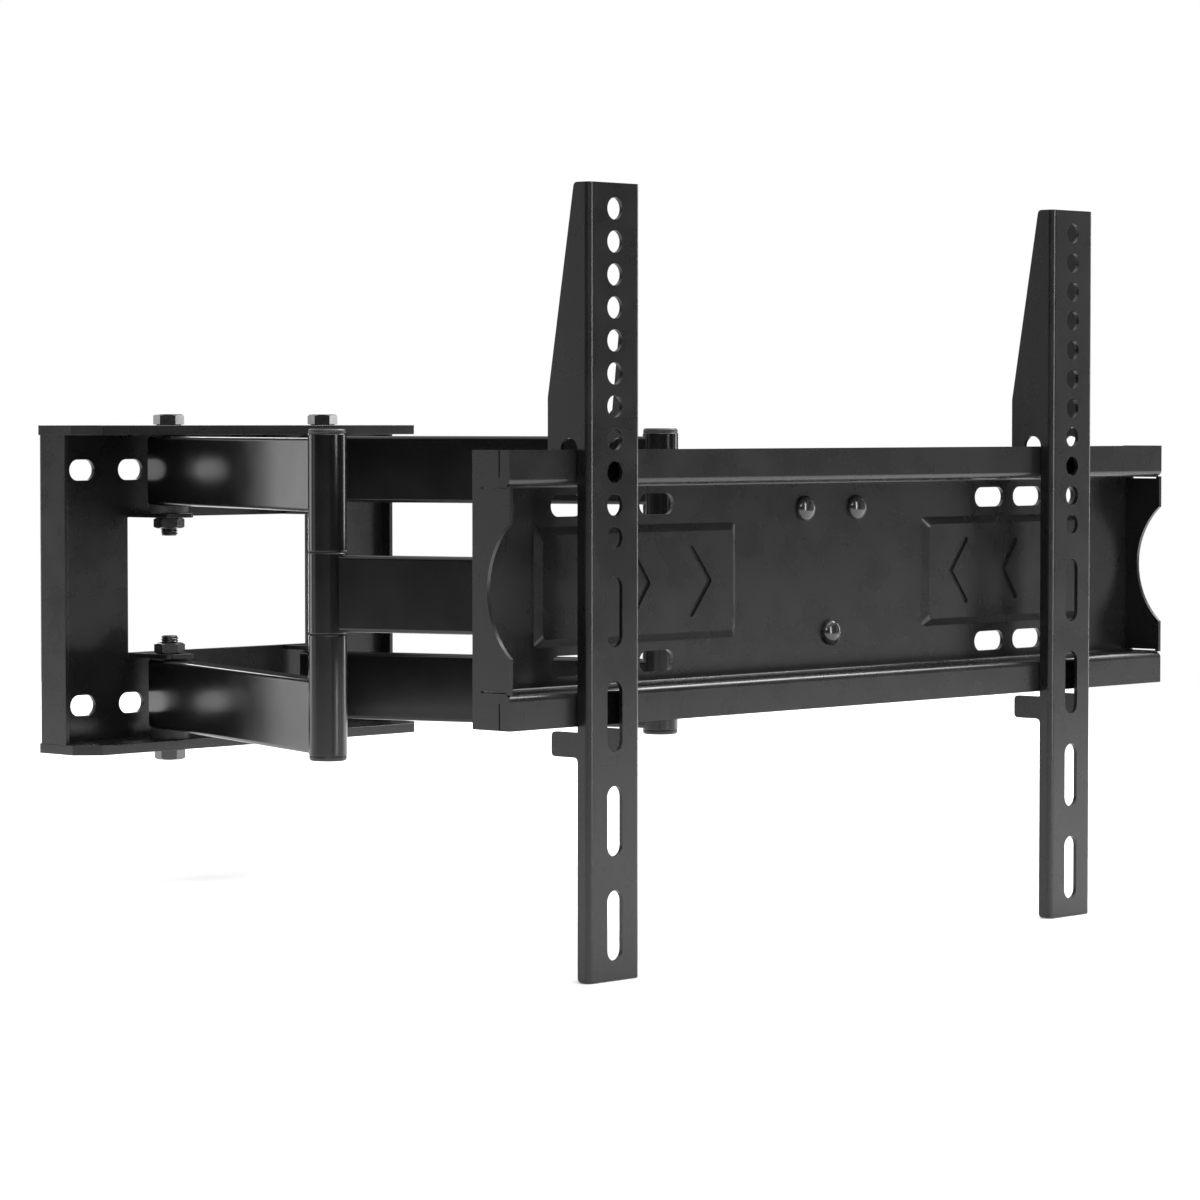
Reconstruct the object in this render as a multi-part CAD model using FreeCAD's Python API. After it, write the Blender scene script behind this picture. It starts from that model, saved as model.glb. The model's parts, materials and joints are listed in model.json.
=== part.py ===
"""Full motion television wall mount: dual folding arms, tilt and swivel head, two TV brackets.

Frame: +Z up, +X to the right along the wall, the television side faces -Y.
The origin is the centre of the wall panel's back face. All sizes are millimetres.
"""
import FreeCAD, Part
import math
import os
from FreeCAD import Vector

# ---- Wall plate -------------------------------------------------------------------------------
WALL_WIDTH = 316.0
WALL_HEIGHT = 218.0
WALL_SHEET = 3.0
PIVOT_PLATE = 6.5             # thickness of the top and bottom pivot plates
PIVOT_PLATE_DEPTH = 48.0
PIVOT_PLATE_CORNER = 14.0     # 45 degree corner of the pivot plates
SIDE_FLANGE_LEFT = 27.0
SIDE_FLANGE_RIGHT = 12.0
FLANGE_CORNER = 5.0
NEAR = 0.001                  # two places closer than this are the same place
PANEL_EDGE_ROUND = 0.9 * WALL_SHEET     # just under the sheet's thickness
WINDOW_WIDTH = 166.0
WINDOW_TOP = 46.8
WINDOW_BOTTOM = -45.0
LUG_WIDTH = 24.0
LUG_REACH = 45.5              # from the wall to the lug's front edge
WALL_SLOT_LENGTH = 21.5
WALL_SLOT_WIDTH = 14.0
WALL_SLOT_INNER_X = 80.5
WALL_SLOT_OUTER_X = 123.0
WALL_SLOT_Z = 79.0

# ---- Arms -------------------------------------------------------------------------------------
SHOULDER_X = 71.0             # half the distance between the two shoulder pivots
SHOULDER_DEPTH = 31.5         # shoulder axis in front of the wall
ARM_LENGTH = 257.0            # pivot to pivot, the same for rear and front arms
ARM_SPREAD = 18.8             # degrees that the rear arms open outwards at rest
REAR_TUBE_HEIGHT = 46.0
REAR_TUBE_THICK = 20.0
REAR_TUBE_WALL = 2.0
REAR_TUBE_TAIL = 13.0         # tube beyond the shoulder axis
UPPER_TUBE_Z = 78.5           # middle heights of the arm tubes
LOWER_TUBE_Z = -72.2
FRONT_TUBE_HEIGHT = 47.5
FRONT_TUBE_THICK = 11.0
FRONT_TUBE_WALL = 2.0
FRONT_TUBE_Z = 5.0
TUBE_EDGE = 2.5               # outer corner radius of the arm tubes

# ---- Elbow barrels ----------------------------------------------------------------------------
BARREL_DIA = 24.0
BARREL_BORE = 17.0
BARREL_OVER_TUBE_TOP = 2.5    # rear barrel past the upper tube's top face
BARREL_OVER_TUBE_BOTTOM = 1.0
MIDDLE_BARREL_OVER = 1.5      # middle barrel past the front tube's faces
BARREL_SEAM = 0.6             # gap between two barrels, filled by a washer
PIN_DIA = 12.0
CAP_HEIGHT = 3.0
CAP_DIA = 23.4
CAP_PLUG = 6.0
CAP_EDGE = 1.6

# ---- Pivot hardware ---------------------------------------------------------------------------
BOLT_DIA = 12.0
HEX_FLATS = 18.0
HEX_HEAD_HEIGHT = 7.5
NUT_HEIGHT = 7.3
BOLT_END = 4.8                # thread showing past the nut
BOLT_TURN = 15.0              # degrees that the bolt heads are turned
NUT_TURN = 20.0
SLEEVE_DIA = 15.6
WASHER_DIA = 26.0
WASHER_INSET = 0.5            # barrel washers are this much smaller in radius than the barrel
RUN_FIT = 0.05                # radial clearance of a turning fit
FACE_GAP = 0.2                # axial clearance of a turning face

# ---- Head -------------------------------------------------------------------------------------
EAR_SHEET = 3.0
EAR_RADIUS = 12.0
EAR_GAP = 0.75                # ear to barrel, filled by a washer
YOKE_WEB_HALF = 52.0
SWIVEL_FORWARD = 15.0         # swivel axis in front of the head pivots
NOSE_RADIUS = 8.0
HEAD_PIN_END = 1.0            # swivel pin past its nut
HEAD_PIN_DIA = 8.0
HEAD_HEX_FLATS = 13.0
HEAD_HEX_HEIGHT = 5.3
TILT_ARM_DIA = 12.0
TILT_ARM_HALF = 17.2
CHEEK_SHEET = 2.5
CHEEK_RADIUS = 8.0
TILT_PLATE_HALF = 38.0
TILT_PLATE_TOP = 70.0
TILT_PLATE_BOTTOM = -22.0
TILT_PLATE_SHEET = 2.5

# ---- TV plate ---------------------------------------------------------------------------------
TV_WIDTH = 608.0
TV_HEIGHT = 154.0
TV_CENTRE_Z = 18.9
TV_DEPTH = 28.7
TV_SHEET = 2.5
TV_BEND = 1.5                 # inside bend radius
TV_BEHIND_PIVOT = 32.0        # panel's back face in front of the head pivots
LIP_HEIGHT = 20.0
BITE_CHORD = 74.5
BITE_DEPTH = 17.5
END_SLIT = 0.9
END_SLIT_STOP = 6.5           # from the panel's back to the blind end of the long slits
END_SLIT_FRONT = 8.0          # from the lip's front to the short slits
END_SLIT_SHORT = 15.0         # length of the short slits
RELIEF_HALF = 3.0             # half height of the notch where the web stops at the end flange
TV_SLOT_WIDTH = 12.2
TV_SLOTS = ((141.0, 170.5), (180.0, 209.5), (216.0, 244.0))
TV_SLOT_PITCH = 90.5
PAD_INNER_X = 87.5
PAD_OUTER_X = 258.0
PAD_TOP = 52.5
PAD_BOTTOM = -15.0
PAD_RAISE = 2.8
PAD_BEVEL = 4.5
PAD_CORNER = 6.0
CHEVRON_WIDTH = 3.6
CHEVRON_DEPTH = 1.4
CHEVRONS = ((113.0, 15.5, 19.0), (166.0, 13.0, 17.5))    # tip x, reach, half height
TV_BOLT_HEAD = 15.5
TV_BOLT_DOME = 5.0
TV_BOLT_X = 24.0
TV_BOLT_TOP = 59.5
TV_BOLT_BOTTOM = -15.5
TV_BOLT_DIA = 8.0

# ---- TV brackets ------------------------------------------------------------------------------
BRACKET_LENGTH = 445.0
BRACKET_TOP = 244.0
BRACKET_WIDTH = 42.2
BRACKET_SHEET = 2.5
BRACKET_BEND = 1.0
BRACKET_LEFT_X = -229.4
BRACKET_RIGHT_X = 194.7
BRACKET_STANDOFF = 9.3        # front face in front of the TV plate's lips
RAIL_GAP = 0.35               # bracket flange to lip
FLANGE_TOP = 11.7             # flange depth at the top end
FLANGE_DEEP = 31.7            # flange depth above the hook
FLANGE_SLANT_END = 29.0       # above the lip's top edge
INNER_FLANGE_LEFT = ((10.5, 0.0), (10.5, 48.0), (19.5, 126.0))    # depth, distance below the top
INNER_FLANGE_RIGHT = ((20.0, 0.0), (29.0, 119.0))
INNER_FLANGE_STEP = 10.0      # drop over which the right-hand flange gains its full depth
HOOK_TONGUE = 10.0
HOOK_ROOF = 6.4
HOOK_FLOOR_GAP = 0.3          # tongue above the TV plate's web
LOWER_TAB_DROP = 3.4
LOWER_TAB_HEIGHT = 14.0
LOWER_TAB_REACH = 20.0
LOWER_TAB_CORNER = 2.6
HOLE_COUNT = 11
HOLE_DIA = 12.4
HOLE_PITCH = 18.3
FIRST_HOLE_DROP = 14.3
SLOT_COUNT = 4
SLOT_LENGTH = 39.6
SLOT_PITCH = 58.6
FIRST_SLOT_DROP = 238.5       # bracket top to the first slot's middle

# ---- Worked out places ------------------------------------------------------------------------
SPREAD = math.radians(ARM_SPREAD)
SHOULDER = Vector(-SHOULDER_X, -SHOULDER_DEPTH, 0)
ELBOW = SHOULDER + Vector(-math.sin(SPREAD), -math.cos(SPREAD), 0) * ARM_LENGTH
HEAD = ELBOW + Vector(math.sin(SPREAD), -math.cos(SPREAD), 0) * ARM_LENGTH
PANEL_Z = WALL_HEIGHT / 2 - PIVOT_PLATE
UPPER_TUBE = (UPPER_TUBE_Z - REAR_TUBE_HEIGHT / 2, UPPER_TUBE_Z + REAR_TUBE_HEIGHT / 2)
LOWER_TUBE = (LOWER_TUBE_Z - REAR_TUBE_HEIGHT / 2, LOWER_TUBE_Z + REAR_TUBE_HEIGHT / 2)
FRONT_TUBE = (FRONT_TUBE_Z - FRONT_TUBE_HEIGHT / 2, FRONT_TUBE_Z + FRONT_TUBE_HEIGHT / 2)
MIDDLE_BARREL = (FRONT_TUBE[0] - MIDDLE_BARREL_OVER, FRONT_TUBE[1] + MIDDLE_BARREL_OVER)
UPPER_BARREL = (MIDDLE_BARREL[1] + BARREL_SEAM, UPPER_TUBE[1] + BARREL_OVER_TUBE_TOP)
LOWER_BARREL = (LOWER_TUBE[0] - BARREL_OVER_TUBE_BOTTOM, MIDDLE_BARREL[0] - BARREL_SEAM)
EAR_TOP = MIDDLE_BARREL[1] + EAR_GAP
EAR_BOTTOM = MIDDLE_BARREL[0] - EAR_GAP
SWIVEL_Y = HEAD.y - SWIVEL_FORWARD
PANEL_BACK = HEAD.y - TV_BEHIND_PIVOT
PANEL_FRONT = PANEL_BACK - TV_SHEET
LIP_FRONT = PANEL_BACK - TV_DEPTH
TV_TOP = TV_CENTRE_Z + TV_HEIGHT / 2
TV_BOTTOM = TV_CENTRE_Z - TV_HEIGHT / 2


# ---- Shape helpers ----------------------------------------------------------------------------


def box(x0, x1, y0, y1, z0, z1):
    return Part.makeBox(x1 - x0, y1 - y0, z1 - z0, Vector(x0, y0, z0))


def post(x, y, z0, z1, diameter):
    return Part.makeCylinder(diameter / 2, z1 - z0, Vector(x, y, z0))


def ring(x, y, z0, z1, outer, inner):
    return post(x, y, z0, z1, outer).cut(post(x, y, z0, z1, inner))


def rod_x(x0, x1, y, z, diameter):
    return Part.makeCylinder(diameter / 2, x1 - x0, Vector(x0, y, z), Vector(1, 0, 0))


def rod_y(x, y0, y1, z, diameter):
    return Part.makeCylinder(diameter / 2, y1 - y0, Vector(x, y0, z), Vector(0, 1, 0))


def prism(points, direction):
    wire = Part.makePolygon(points + [points[0]])
    return Part.Face(wire).extrude(direction)


def hex_prism(x, y, z0, z1, flats, turn=0.0):
    corner = flats / math.sqrt(3)
    angles = [math.radians(turn + 60 * i) for i in range(6)]
    points = [Vector(x + corner * math.cos(a), y + corner * math.sin(a), z0) for a in angles]
    return prism(points, Vector(0, 0, z1 - z0))


def fuse(shapes):
    return shapes[0].multiFuse(shapes[1:]).removeSplitter()


def cut(shape, tools):
    return shape.cut(Part.makeCompound(tools))


def slot_cut(x, z, length, width, y0, y1, upright=False):
    """A stadium hole through a sheet that lies across Y."""
    half = (length - width) / 2
    ends = [(0, -half), (0, half)] if upright else [(-half, 0), (half, 0)]
    rounds = [rod_y(x + dx, y0, y1, z + dz, width) for dx, dz in ends]
    if upright:
        middle = box(x - width / 2, x + width / 2, y0, y1, z - half, z + half)
    else:
        middle = box(x - half, x + half, y0, y1, z - width / 2, z + width / 2)
    return fuse(rounds + [middle])


def mirror(shape):
    return shape.mirror(Vector(0, 0, 0), Vector(1, 0, 0))


def upright_edges(shape, corners):
    """The vertical edges of a shape that stand at the given (x, y) corners."""
    found = []
    for edge in shape.Edges:
        ends = [vertex.Point for vertex in edge.Vertexes]
        if len(ends) != 2 or abs(ends[0].z - ends[1].z) < NEAR:
            continue
        for x, y in corners:
            if all(math.hypot(p.x - x, p.y - y) < NEAR for p in ends):
                found.append(edge)
    return found


def long_edges(shape, axis):
    """The straight edges of a shape that run along one axis, 0 for X, 1 for Y, 2 for Z."""
    found = []
    for edge in shape.Edges:
        ends = [vertex.Point for vertex in edge.Vertexes]
        if len(ends) == 2 and isinstance(edge.Curve, Part.Line):
            step = ends[1] - ends[0]
            across = [abs(step[i]) for i in range(3) if i != axis]
            if max(across) < NEAR:
                found.append(edge)
    return found


def bent_sheet(path, sheet, bend, direction):
    """A sheet section that follows a path of points, with round bends, extruded one way."""
    def side(offset):
        corners = []
        steps = [(path[i + 1] - path[i]).normalize() for i in range(len(path) - 1)]
        normal_axis = Vector(direction).normalize()
        normals = [normal_axis.cross(step) for step in steps]
        corners.append(path[0] + normals[0] * offset)
        for i in range(1, len(path) - 1):
            bisector = normals[i - 1] + normals[i]
            scale = offset * 2 / bisector.dot(bisector)
            turn = 1 if steps[i - 1].cross(steps[i]).dot(normal_axis) > 0 else -1
            corners.append((path[i] + bisector * scale, turn, steps[i - 1], steps[i]))
        corners.append(path[-1] + normals[-1] * offset)
        return corners

    def edges(corners, offset):
        here = corners[0]
        made = []
        for point, turn, step_in, step_out in corners[1:-1]:
            radius = bend + sheet / 2 - turn * offset
            half_turn = step_in.getAngle(step_out) / 2
            back = radius * math.tan(half_turn)
            start = point - step_in * back
            end = point + step_out * back
            inward = (step_out - step_in).normalize()
            middle = point + inward * radius * (1 / math.cos(half_turn) - 1)
            made += [Part.LineSegment(here, start).toShape(), Part.Arc(start, middle, end).toShape()]
            here = end
        made.append(Part.LineSegment(here, corners[-1]).toShape())
        return made

    half = sheet / 2
    left, right = side(half), side(-half)
    outline = edges(left, half) + edges(right, -half)
    outline.append(Part.LineSegment(left[0], right[0]).toShape())
    outline.append(Part.LineSegment(left[-1], right[-1]).toShape())
    wire = Part.Wire(Part.__sortEdges__(outline))
    return Part.Face(wire).extrude(direction)


def along_arm(shape, start, end):
    """Lay a shape built along +X from the origin onto the line from start to end."""
    step = end - start
    placed = shape.copy()
    placed.rotate(Vector(0, 0, 0), Vector(0, 0, 1), math.degrees(math.atan2(step.y, step.x)))
    placed.translate(Vector(start.x, start.y, 0))
    return placed


def write(node, shapes):
    solids = [solid for shape in shapes for solid in shape.Solids]
    whole = solids[0] if len(solids) == 1 else Part.makeCompound(solids)
    whole.exportStep(os.path.join("parts", node + ".step"))


def write_pair(name, shapes):
    """Write the left and the mirrored right copy of one sub-part."""
    write("left_" + name, shapes)
    write("right_" + name, [mirror(shape) for shape in shapes])


# ---- Wall plate -------------------------------------------------------------------------------
def wall_panel():
    half = WALL_WIDTH / 2
    inner = half - WALL_SHEET
    panel = box(-half, half, -WALL_SHEET, 0, -PANEL_Z, PANEL_Z)
    left = box(-half, -inner, -SIDE_FLANGE_LEFT, 0, -PANEL_Z, PANEL_Z)
    right = box(inner, half, -SIDE_FLANGE_RIGHT, 0, -PANEL_Z, PANEL_Z)
    sheet = fuse([panel, left, right])
    sheet = sheet.makeFillet(PANEL_EDGE_ROUND, upright_edges(sheet, [(-half, 0), (half, 0)]))
    window = box(-WINDOW_WIDTH / 2, WINDOW_WIDTH / 2, -WALL_SHEET, 0, WINDOW_BOTTOM, WINDOW_TOP)
    holes = [window]
    for x in (-WALL_SLOT_OUTER_X, -WALL_SLOT_INNER_X, WALL_SLOT_INNER_X, WALL_SLOT_OUTER_X):
        for z in (-WALL_SLOT_Z, WALL_SLOT_Z):
            holes.append(slot_cut(x, z, WALL_SLOT_LENGTH, WALL_SLOT_WIDTH, -WALL_SHEET, 0))
    sheet = cut(sheet, holes)
    lugs = []
    for x in (-SHOULDER_X, SHOULDER_X):
        for z0 in (WINDOW_TOP, WINDOW_BOTTOM - WALL_SHEET):
            x0, x1 = x - LUG_WIDTH / 2, x + LUG_WIDTH / 2
            lug = box(x0, x1, -LUG_REACH, 0, z0, z0 + WALL_SHEET)
            lug = lug.makeFillet(FLANGE_CORNER, upright_edges(lug, [(x0, -LUG_REACH), (x1, -LUG_REACH)]))
            lugs.append(lug.cut(post(x, -SHOULDER_DEPTH, z0, z0 + WALL_SHEET, BOLT_DIA)))
    return fuse([sheet] + lugs)


def pivot_plate(z0):
    half = WALL_WIDTH / 2
    front = -PIVOT_PLATE_DEPTH
    corner = PIVOT_PLATE_CORNER
    outline = [(-half, 0), (half, 0), (half, front + corner), (half - corner, front),
               (-half + corner, front), (-half, front + corner)]
    plate = prism([Vector(x, y, z0) for x, y in outline], Vector(0, 0, PIVOT_PLATE))
    holes = [post(x, -SHOULDER_DEPTH, z0, z0 + PIVOT_PLATE, BOLT_DIA) for x in (-SHOULDER_X, SHOULDER_X)]
    return cut(plate, holes)


def shoulder_bolts():
    top = WALL_HEIGHT / 2
    upper_end = WINDOW_TOP - NUT_HEIGHT - BOLT_END
    lower_end = WINDOW_BOTTOM + NUT_HEIGHT + BOLT_END
    bolts, nuts = [], []
    for x in (-SHOULDER_X, SHOULDER_X):
        y = -SHOULDER_DEPTH
        head = hex_prism(x, y, top, top + HEX_HEAD_HEIGHT, HEX_FLATS, BOLT_TURN)
        bolts.append(fuse([head, post(x, y, upper_end, top, BOLT_DIA)]))
        head = hex_prism(x, y, -top - HEX_HEAD_HEIGHT, -top, HEX_FLATS, BOLT_TURN)
        bolts.append(fuse([head, post(x, y, -top, lower_end, BOLT_DIA)]))
        for z0 in (WINDOW_TOP - NUT_HEIGHT, WINDOW_BOTTOM):
            nut = hex_prism(x, y, z0, z0 + NUT_HEIGHT, HEX_FLATS, NUT_TURN)
            nuts.append(nut.cut(post(x, y, z0, z0 + NUT_HEIGHT, BOLT_DIA)))
    return bolts, nuts


def shoulder_spacers():
    """Plastic spacers on the shoulder bolts, above and below each rear arm tube."""
    gaps = [(UPPER_TUBE[1] + FACE_GAP, PANEL_Z), (WINDOW_TOP + WALL_SHEET, UPPER_TUBE[0] - FACE_GAP),
            (LOWER_TUBE[1] + FACE_GAP, WINDOW_BOTTOM - WALL_SHEET), (-PANEL_Z, LOWER_TUBE[0] - FACE_GAP)]
    return [ring(x, -SHOULDER_DEPTH, z0, z1, WASHER_DIA, BOLT_DIA)
            for x in (-SHOULDER_X, SHOULDER_X) for z0, z1 in gaps]


# ---- Arms -------------------------------------------------------------------------------------
def arm_tube(start, end, z_range, thick, wall):
    """A rectangular tube along +X, from start to end."""
    z0, z1 = z_range
    outside = box(start, end, -thick / 2, thick / 2, z0, z1)
    outside = outside.makeFillet(TUBE_EDGE, long_edges(outside, 0))
    inside = box(start, end, wall - thick / 2, thick / 2 - wall, z0 + wall, z1 - wall)
    return outside.cut(inside)


def rear_tube(z_range):
    z0, z1 = z_range
    tube = arm_tube(-REAR_TUBE_TAIL, ARM_LENGTH, z_range, REAR_TUBE_THICK, REAR_TUBE_WALL)
    tube = cut(tube, [post(0, 0, z0, z1, SLEEVE_DIA), post(ARM_LENGTH, 0, z0, z1, BARREL_DIA)])
    body = [s for s in tube.Solids if s.BoundBox.XMin < ARM_LENGTH / 2]
    return along_arm(body[0], SHOULDER, ELBOW)


def front_tube():
    tube = arm_tube(0, ARM_LENGTH, FRONT_TUBE, FRONT_TUBE_THICK, FRONT_TUBE_WALL)
    ends = [post(x, 0, FRONT_TUBE[0], FRONT_TUBE[1], BARREL_DIA) for x in (0, ARM_LENGTH)]
    body = max(cut(tube, ends).Solids, key=lambda solid: solid.Volume)
    return along_arm(body, ELBOW, HEAD)


def barrel(place, z_range):
    return ring(place.x, place.y, z_range[0], z_range[1], BARREL_DIA, BARREL_BORE)


def bush(place, z_range, bore):
    return ring(place.x, place.y, z_range[0], z_range[1], BARREL_BORE, bore)


def sleeve(z_range):
    return ring(SHOULDER.x, SHOULDER.y, z_range[0], z_range[1], SLEEVE_DIA, BOLT_DIA + 2 * RUN_FIT)


def elbow_caps():
    top, bottom = UPPER_BARREL[1], LOWER_BARREL[0]
    x, y = ELBOW.x, ELBOW.y
    upper = post(x, y, top, top + CAP_HEIGHT, CAP_DIA)
    upper = upper.makeFillet(CAP_EDGE, [e for e in upper.Edges if e.BoundBox.ZMin > top + CAP_HEIGHT / 2])
    lower = post(x, y, bottom - CAP_HEIGHT, bottom, CAP_DIA)
    outer_rim = [edge for edge in lower.Edges if edge.BoundBox.ZMax < bottom - CAP_HEIGHT / 2]
    lower = lower.makeFillet(CAP_EDGE, outer_rim)
    upper = fuse([upper, post(x, y, top - CAP_PLUG, top, BARREL_BORE)])
    lower = fuse([lower, post(x, y, bottom, bottom + CAP_PLUG, BARREL_BORE)])
    return [upper, lower]


def elbow_washers():
    outer = BARREL_DIA - 2 * WASHER_INSET
    spans = [(MIDDLE_BARREL[1], UPPER_BARREL[0]), (LOWER_BARREL[1], MIDDLE_BARREL[0])]
    return [ring(ELBOW.x, ELBOW.y, z0 + FACE_GAP / 2, z1 - FACE_GAP / 2, outer, PIN_DIA + 2 * RUN_FIT)
            for z0, z1 in spans]


def write_arms():
    low, high = LOWER_BARREL[0] + CAP_PLUG, UPPER_BARREL[1] - CAP_PLUG
    write_pair("rear_upper_tube", [rear_tube(UPPER_TUBE)])
    write_pair("rear_lower_tube", [rear_tube(LOWER_TUBE)])
    write_pair("elbow_upper_barrel", [barrel(ELBOW, UPPER_BARREL)])
    write_pair("elbow_lower_barrel", [barrel(ELBOW, LOWER_BARREL)])
    write_pair("elbow_pin", [post(ELBOW.x, ELBOW.y, low, high, PIN_DIA)])
    write_pair("elbow_rear_bushes", [bush(ELBOW, (UPPER_BARREL[0], high), PIN_DIA),
                                     bush(ELBOW, (low, LOWER_BARREL[1]), PIN_DIA)])
    write_pair("elbow_caps", elbow_caps())
    write_pair("shoulder_sleeves", [sleeve(UPPER_TUBE), sleeve(LOWER_TUBE)])
    write_pair("front_tube", [front_tube()])
    write_pair("elbow_middle_barrel", [barrel(ELBOW, MIDDLE_BARREL)])
    write_pair("elbow_middle_bush", [bush(ELBOW, MIDDLE_BARREL, PIN_DIA + 2 * RUN_FIT)])
    write_pair("elbow_washers", elbow_washers())
    write_pair("head_barrel", [barrel(HEAD, MIDDLE_BARREL)])
    write_pair("head_bush", [bush(HEAD, MIDDLE_BARREL, BOLT_DIA + 2 * RUN_FIT)])


# ---- Head -------------------------------------------------------------------------------------
def yoke_ear(z0):
    """One horizontal ear plate, with a round end at each head pivot and a nose at the swivel."""
    x, y, z1 = -HEAD.x, HEAD.y, z0 + EAR_SHEET
    plate = fuse([box(-x, x, y - EAR_RADIUS, y + EAR_RADIUS, z0, z1),
                  post(-x, y, z0, z1, 2 * EAR_RADIUS), post(x, y, z0, z1, 2 * EAR_RADIUS),
                  box(-NOSE_RADIUS, NOSE_RADIUS, SWIVEL_Y, y, z0, z1),
                  post(0, SWIVEL_Y, z0, z1, 2 * NOSE_RADIUS)])
    holes = [post(-x, y, z0, z1, BOLT_DIA), post(x, y, z0, z1, BOLT_DIA),
             post(0, SWIVEL_Y, z0, z1, HEAD_PIN_DIA)]
    return cut(plate, holes)


def head_yoke():
    web = box(-YOKE_WEB_HALF, YOKE_WEB_HALF, HEAD.y - EAR_SHEET, HEAD.y, EAR_BOTTOM, EAR_TOP)
    return fuse([yoke_ear(EAR_TOP), yoke_ear(EAR_BOTTOM - EAR_SHEET), web])


def head_bolts():
    top, bottom = EAR_TOP + EAR_SHEET, EAR_BOTTOM - EAR_SHEET
    bolts, nuts, washers = [], [], []
    for x in (HEAD.x, -HEAD.x):
        head = hex_prism(x, HEAD.y, top, top + HEX_HEAD_HEIGHT, HEX_FLATS)
        bolts.append(fuse([head, post(x, HEAD.y, bottom - NUT_HEIGHT - BOLT_END / 2, top, BOLT_DIA)]))
        nut = hex_prism(x, HEAD.y, bottom - NUT_HEIGHT, bottom, HEX_FLATS)
        nuts.append(nut.cut(post(x, HEAD.y, bottom - NUT_HEIGHT, bottom, BOLT_DIA)))
        for z0, z1 in ((MIDDLE_BARREL[1] + FACE_GAP, EAR_TOP), (EAR_BOTTOM, MIDDLE_BARREL[0] - FACE_GAP)):
            washers.append(ring(x, HEAD.y, z0, z1, BARREL_DIA - 2 * WASHER_INSET, BOLT_DIA))
    return bolts, nuts, washers


def swivel_hardware():
    top, bottom = EAR_TOP + EAR_SHEET, EAR_BOTTOM - EAR_SHEET
    head = hex_prism(0, SWIVEL_Y, top, top + HEAD_HEX_HEIGHT, HEAD_HEX_FLATS)
    pin = fuse([head, post(0, SWIVEL_Y, bottom - HEAD_HEX_HEIGHT - HEAD_PIN_END, top, HEAD_PIN_DIA)])
    nut = hex_prism(0, SWIVEL_Y, bottom - HEAD_HEX_HEIGHT, bottom, HEAD_HEX_FLATS)
    return pin, nut.cut(post(0, SWIVEL_Y, bottom - HEAD_HEX_HEIGHT, bottom, HEAD_PIN_DIA))


def swivel_barrel():
    upright = post(0, SWIVEL_Y, EAR_BOTTOM + FACE_GAP, EAR_TOP - FACE_GAP, 2 * NOSE_RADIUS)
    across = rod_x(-TILT_ARM_HALF, TILT_ARM_HALF, SWIVEL_Y, FRONT_TUBE_Z, TILT_ARM_DIA)
    bore = post(0, SWIVEL_Y, EAR_BOTTOM, EAR_TOP, HEAD_PIN_DIA + 2 * RUN_FIT)
    threads = [rod_x(x0, x0 + TILT_ARM_HALF - NOSE_RADIUS, SWIVEL_Y, FRONT_TUBE_Z, HEAD_PIN_DIA)
               for x0 in (-TILT_ARM_HALF, NOSE_RADIUS)]
    return cut(fuse([upright, across]), [bore] + threads)


def tilt_bolts():
    """Shoulder screws that carry the tilt bracket's cheeks, screwed into the swivel barrel."""
    outside = TILT_ARM_HALF + FACE_GAP + CHEEK_SHEET + FACE_GAP
    screw = fuse([rod_x(NOSE_RADIUS, outside, SWIVEL_Y, FRONT_TUBE_Z, HEAD_PIN_DIA),
                  rod_x(outside, outside + HEAD_HEX_HEIGHT, SWIVEL_Y, FRONT_TUBE_Z, HEAD_HEX_FLATS)])
    return [screw, mirror(screw)]


def tilt_bracket():
    back = PANEL_BACK + TILT_PLATE_SHEET
    plate = box(-TILT_PLATE_HALF, TILT_PLATE_HALF, PANEL_BACK, back, TILT_PLATE_BOTTOM, TILT_PLATE_TOP)
    corners = long_edges(plate, 1)
    plate = plate.makeFillet(FLANGE_CORNER, corners)
    inner = TILT_ARM_HALF + FACE_GAP
    cheeks = []
    for x0 in (-inner - CHEEK_SHEET, inner):
        x1 = x0 + CHEEK_SHEET
        low, high = FRONT_TUBE_Z - CHEEK_RADIUS, FRONT_TUBE_Z + CHEEK_RADIUS
        cheek = fuse([box(x0, x1, PANEL_BACK, SWIVEL_Y, low, high),
                      rod_x(x0, x1, SWIVEL_Y, FRONT_TUBE_Z, 2 * CHEEK_RADIUS)])
        cheeks.append(cheek.cut(rod_x(x0, x1, SWIVEL_Y, FRONT_TUBE_Z, HEAD_PIN_DIA + 2 * RUN_FIT)))
    holes = [rod_y(x, PANEL_BACK, back, z, TV_BOLT_DIA) for x, z in tv_bolt_places()]
    return cut(fuse([plate] + cheeks), holes)


# ---- TV plate ---------------------------------------------------------------------------------
def tv_bolt_places():
    return [(-TV_BOLT_X, TV_BOLT_TOP), (TV_BOLT_X, TV_BOLT_TOP), (0.0, TV_BOLT_BOTTOM)]


def frustum(x0, x1, z0, z1, y_base, y_top, inset):
    """A raised pad with sloping sides and round corners."""
    def rectangle(y, shrink):
        points = [Vector(x0 + shrink, y, z0 + shrink), Vector(x1 - shrink, y, z0 + shrink),
                  Vector(x1 - shrink, y, z1 - shrink), Vector(x0 + shrink, y, z1 - shrink)]
        return Part.makePolygon(points + [points[0]])
    pad = Part.makeLoft([rectangle(y_base, 0), rectangle(y_top, inset)], True, True)
    slanted = [edge for edge in pad.Edges if edge.BoundBox.YLength > abs(y_top - y_base) / 2]
    return pad.makeFillet(PAD_CORNER, slanted)


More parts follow.
